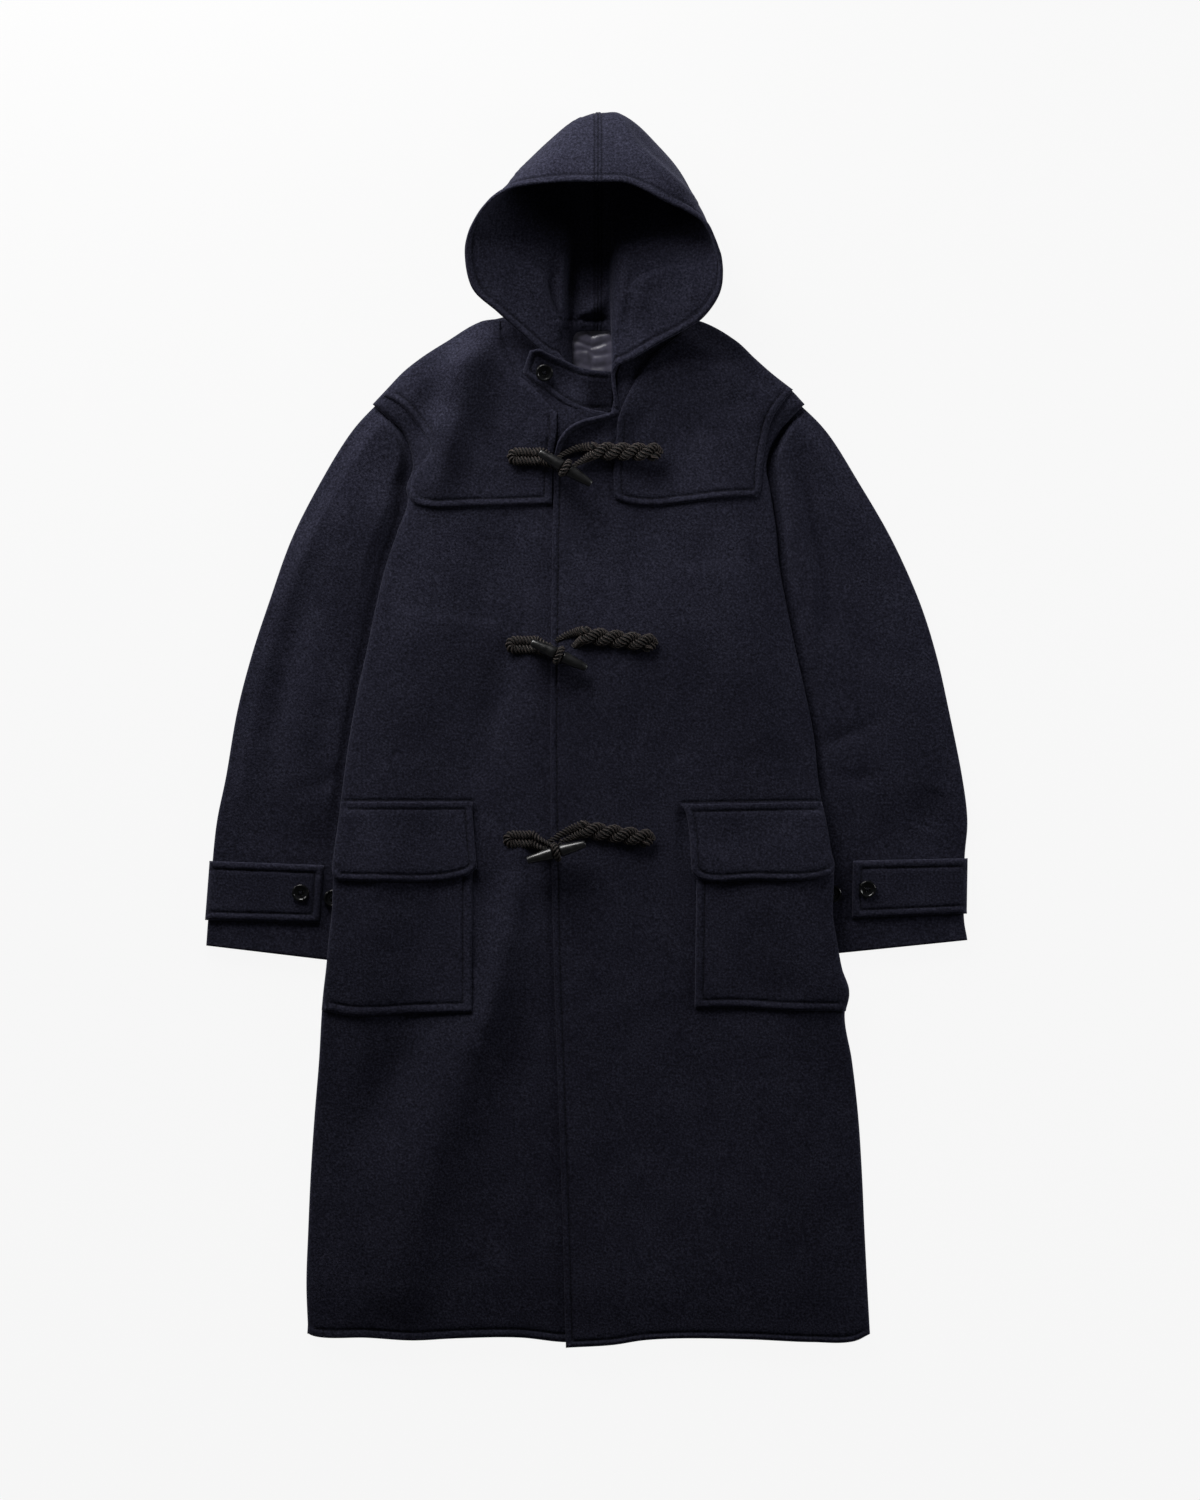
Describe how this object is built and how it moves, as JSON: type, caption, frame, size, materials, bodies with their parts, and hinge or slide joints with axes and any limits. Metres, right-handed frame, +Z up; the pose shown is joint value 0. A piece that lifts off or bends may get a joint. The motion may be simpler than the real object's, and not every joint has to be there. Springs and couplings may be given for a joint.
{
  "type": "duffle coat",
  "caption": "Navy hooded duffle coat in heavy melton, laid on its back with its front closed by rope loops and toggles; yokes, flap pockets, cuff tabs and throat tab.",
  "frame": {"origin": "centre of the base rectangle of the coat's box, on the surface that it lies on", "axes": "+Y from the hem towards the hood, +Z up out of the front, +X towards the wearer's left sleeve"},
  "size_m": [0.8388, 1.3592, 0.0961],
  "materials": {
    "melton": "brushed wool",
    "satin": "soft sheen",
    "rope": "twisted cord",
    "toggle": "semi-matte horn",
    "button": "polished"
  },
  "bodies": {
    "root": {"back_panel": "melton", "button_cuff_left_1": "button", "button_cuff_left_2": "button", "button_cuff_right_1": "button", "button_cuff_right_2": "button", "button_throat": "button", "cuff_tab_left": "melton", "cuff_tab_right": "melton", "front_left": "melton", "front_right": "melton", "hood_left": "melton", "hood_right": "melton", "loop_cord_1": "rope", "loop_cord_2": "rope", "loop_cord_3": "rope", "neck_lining": "satin", "pocket_flap_left": "melton", "pocket_flap_right": "melton", "pocket_left": "melton", "pocket_right": "melton", "sleeve_left": "melton", "sleeve_right": "melton", "throat_tab": "melton", "toggle_1": "toggle", "toggle_2": "toggle", "toggle_3": "toggle", "toggle_cord_1": "rope", "toggle_cord_2": "rope", "toggle_cord_3": "rope", "yoke_left": "melton", "yoke_right": "melton"}
  },
  "joints": []
}
